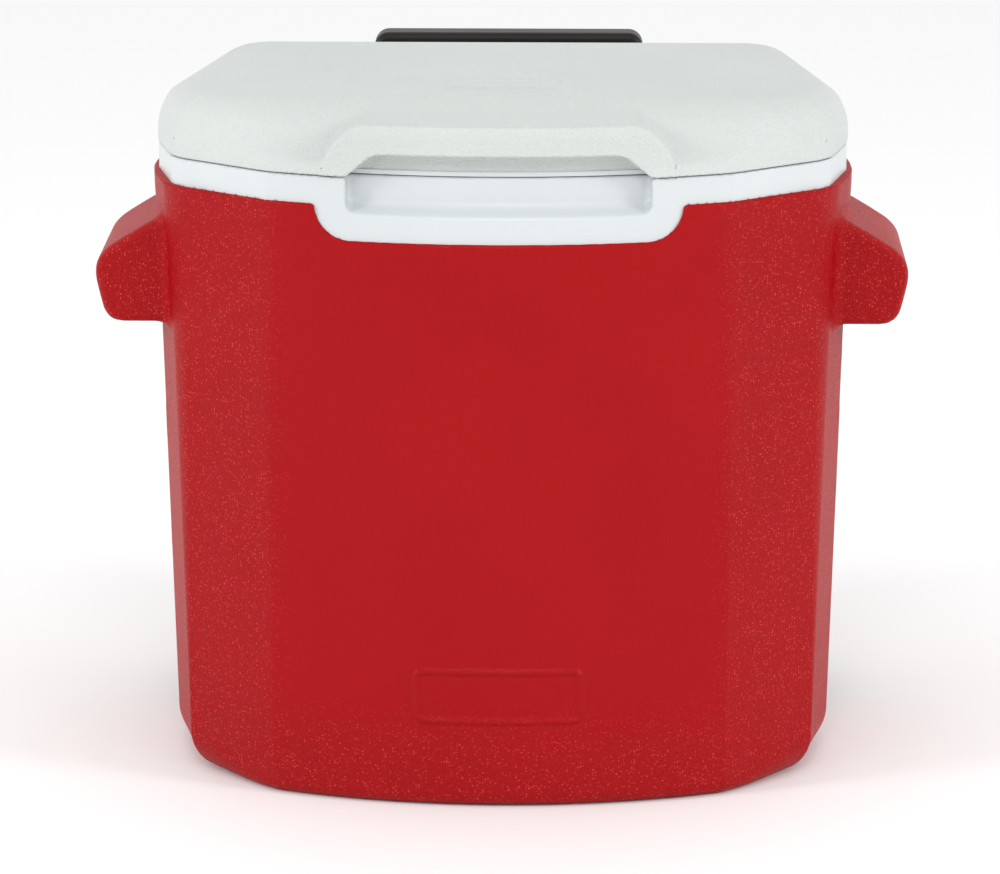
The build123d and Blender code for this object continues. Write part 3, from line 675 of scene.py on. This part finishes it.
shell = moulded("red_shell", outer_shell, (-241, -140, 0), (241, 160, 358), 1.75, 0.3)
finish(shell, red, "red_shell", "chest", "outer_shell")
liner = moulded("white_liner", inner_liner, (-201, -138, 34), (201, 138, 374), 1.7, 0.3)
finish(liner, white_rim, "white_liner", "chest", "inner_liner")
lid = moulded("white_lid", lid_shell, (-202, -139, 374), (202, 153, 408), 1.25, 0.6)
finish(lid, white_lid, "lid_white", "lid", "lid_shell")
body_foam = moulded("body_foam", body_insulation, (-200, -137, 4), (200, 150, 371), 3.0, 0.15)
finish(body_foam, foam, "foam", "chest", "body_insulation")
lid_foam = moulded("lid_foam", lid_insulation, (-198, -136, 374), (198, 136, 405), 2.0, 0.15)
finish(lid_foam, foam, "foam", "lid", "lid_insulation")

for side, low, high in (("left", -178, -151), ("right", 151, 178)):
    ends = (low, AXLE_Y - WHEEL_R, 1), (high, AXLE_Y + WHEEL_R, 102)
    ribbed = moulded(f"{side}_ribbed_wheel", wheel, *ends, 0.9, 0.5)
    finish(ribbed, black, "wheel_black", f"{side}_wheel", f"{side}_wheel")

LOOKS = {
    "red_shell": red,
    "white_liner": white_rim,
    "lid_white": white_lid,
    "foam": foam,
    "black_plastic": black,
    "grip_black": black,
    "wheel_black": black,
    "tube_aluminium": tube_metal,
    "steel": zinc,
}
for entry in frame["record"]["subparts"]:
    node = frame["nodes"][entry["node"]]
    node.data.materials.clear()
    node.data.materials.append(LOOKS[entry["material_slot"]])
    if entry["material_slot"] in ("black_plastic", "grip_black"):
        edges = node.modifiers.new("soft_edges", "BEVEL")
        edges.width = 0.0007
        edges.segments = 2
        edges.limit_method = "ANGLE"
        edges.angle_limit = math.radians(40)
        edges.harden_normals = True

# ---------------------------------------------------------------- camera, floor and light
VIEW_DISTANCE, VIEW_YAW, VIEW_HEIGHT, AIM_Z = 2.8, 0.02, 0.918, 0.1894
camera_data = bpy.data.cameras.new("camera")
camera_data.lens = 172.97
camera_data.sensor_width = 36.0
camera_data.shift_x = -0.003
camera = bpy.data.objects.new("camera", camera_data)
bpy.context.scene.collection.objects.link(camera)
camera.location = (
    VIEW_DISTANCE * math.sin(VIEW_YAW),
    MID_Y * MM - VIEW_DISTANCE * math.cos(VIEW_YAW),
    VIEW_HEIGHT,
)
aim = np.array([0.0, MID_Y * MM, AIM_Z]) - np.array(camera.location)
tilt = math.asin(aim[2] / np.linalg.norm(aim))
camera.rotation_euler = (math.pi / 2 + tilt, 0, math.atan2(-aim[0], aim[1]))
bpy.context.scene.camera = camera

floor_mesh = bpy.data.meshes.new("floor")
HALF_FLOOR = 6.0
floor_mesh.from_pydata(
    [(x * HALF_FLOOR, y * HALF_FLOOR, 0) for x, y in ((-1, -1), (1, -1), (1, 1), (-1, 1))],
    [],
    [(0, 1, 2, 3)],
)
floor = bpy.data.objects.new("floor", floor_mesh)
bpy.context.scene.collection.objects.link(floor)
pale, _, _, _ = material("pale_floor", (0.93, 0.93, 0.93), 0.9)
floor_mesh.materials.append(pale)

world = bpy.data.worlds.new("studio")
bpy.context.scene.world = world
world.use_nodes = True
world.node_tree.nodes["Background"].inputs["Color"].default_value = (1, 1, 1, 1)
world.node_tree.nodes["Background"].inputs["Strength"].default_value = 0.95
bpy.context.scene.view_settings.view_transform = "Standard"


def softbox(name, place, target, size, power):
    """A square soft light pointed at a target."""
    data = bpy.data.lights.new(name, "AREA")
    data.shape = "SQUARE"
    data.size = size
    data.energy = power
    light = bpy.data.objects.new(name, data)
    bpy.context.scene.collection.objects.link(light)
    light.location = place
    direction = np.array(target) - np.array(place)
    flat = math.hypot(direction[0], direction[1])
    turn = math.atan2(-direction[0], direction[1])
    light.rotation_euler = (math.atan2(flat, -direction[2]), 0, turn)


softbox("left_side", (-2.3, -1.1, 1.3), (0, 0, 0.25), 0.6, 20)
softbox("right_side", (2.3, -1.1, 1.3), (0, 0, 0.25), 0.6, 20)
softbox("front_top", (0, -2.6, 2.4), (0, 0, 0.35), 0.8, 13)
